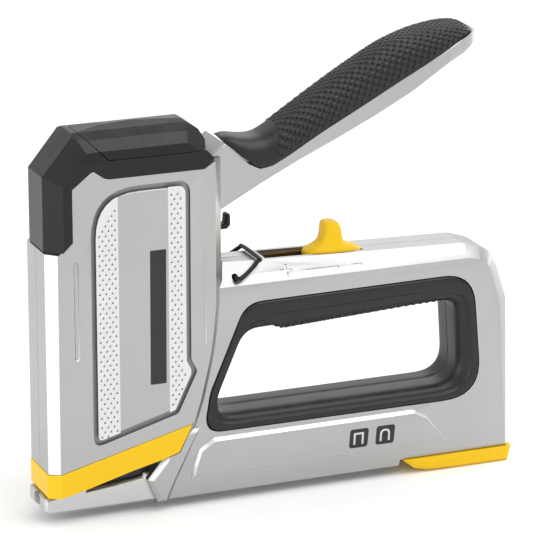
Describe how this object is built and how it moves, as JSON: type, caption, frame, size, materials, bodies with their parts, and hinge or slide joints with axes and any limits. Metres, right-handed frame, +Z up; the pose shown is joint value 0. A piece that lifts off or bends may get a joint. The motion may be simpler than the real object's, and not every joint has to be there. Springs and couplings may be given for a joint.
{
  "type": "staple gun",
  "caption": "Hand staple gun for cable tacking: cast two-half body with a grip opening, squeeze lever with soft grip, power slider, wire bail and slide-out magazine.",
  "frame": {"origin": "centre of the footprint, on the surface the tool stands on", "axes": "+X towards the handle's rear end (the nose points to -X), +Y to the tool's right, +Z up"},
  "size_m": [0.2204, 0.0332, 0.202],
  "materials": {
    "cast_aluminium": "satin",
    "plate_grey": "satin",
    "black_plastic": "matt",
    "soft_rubber": "matt",
    "yellow_plastic": "satin",
    "bright_steel": "brushed",
    "spring_steel": "oiled",
    "zinc_yellow": "chromated",
    "black_steel": "blackened"
  },
  "bodies": {
    "body": {"left_body_shell": "cast_aluminium", "right_body_shell": "cast_aluminium", "front_guard": "black_plastic", "top_cap": "black_plastic", "nose_band": "yellow_plastic", "left_side_plate": "plate_grey", "right_side_plate": "plate_grey", "grip_liner": "soft_rubber", "nose_frame": "bright_steel", "magazine_channel": "bright_steel", "staple_stick": "bright_steel", "slider_guide": "zinc_yellow", "main_leaf_spring": "spring_steel", "second_leaf_spring": "spring_steel", "spring_anchor": "bright_steel", "anchor_pin": "bright_steel", "hammer_bumper": "soft_rubber", "lever_pin": "bright_steel", "lever_return_spring": "spring_steel", "head_upper_screw": "black_steel", "head_lower_screw": "black_steel", "head_rear_screw": "black_steel", "grip_front_screw": "black_steel", "grip_rear_screw": "black_steel", "heel_screw": "black_steel"},
    "lever": {"lever_arm": "cast_aluminium", "lever_grip": "soft_rubber", "lifting_fork": "bright_steel", "fork_rivet": "bright_steel", "lever_hook": "black_plastic"},
    "striker": {"hammer_block": "bright_steel", "driver_blade": "spring_steel"},
    "slider": {"slider_knob": "yellow_plastic", "fulcrum_block": "bright_steel"},
    "bail": {"wire_bail": "black_steel"},
    "magazine": {"magazine_foot": "yellow_plastic", "magazine_rail": "bright_steel", "pusher_rod": "bright_steel", "rod_bracket": "bright_steel"},
    "pusher": {"staple_pusher": "black_plastic", "pusher_spring": "spring_steel"}
  },
  "joints": [
    {"name": "lever_hinge", "type": "hinge", "parent": "body", "child": "lever", "pos_m": [-0.05275, 0, 0.1235], "axis": [0, 1, 0], "range_deg": [0, 22], "stiffness_Nm_per_rad": 0.8, "springref_deg": -28.65},
    {"name": "striker_slide", "type": "slide", "parent": "body", "child": "striker", "axis": [0, 0, 1], "range_m": [0, 0.014], "deforming": ["main_leaf_spring", "second_leaf_spring"]},
    {"name": "power_slide", "type": "slide", "parent": "body", "child": "slider", "axis": [0.9995, 0, -0.0312], "range_m": [-0.016, 0]},
    {"name": "bail_hinge", "type": "hinge", "parent": "body", "child": "bail", "pos_m": [-0.02325, 0, 0.1007], "axis": [0, -1, 0], "range_deg": [0, 78]},
    {"name": "magazine_slide", "type": "slide", "parent": "body", "child": "magazine", "axis": [1, 0, 0], "range_m": [0, 0.1]},
    {"name": "pusher_slide", "type": "slide", "parent": "magazine", "child": "pusher", "axis": [1, 0, 0], "range_m": [0, 0.07], "stiffness_N_per_m": 40, "springref_m": -0.05, "deforming": ["pusher_spring"]}
  ],
  "couplings": [
    {"joint": "striker_slide", "follows": "lever_hinge", "m_per_rad": 0.03594}
  ]
}
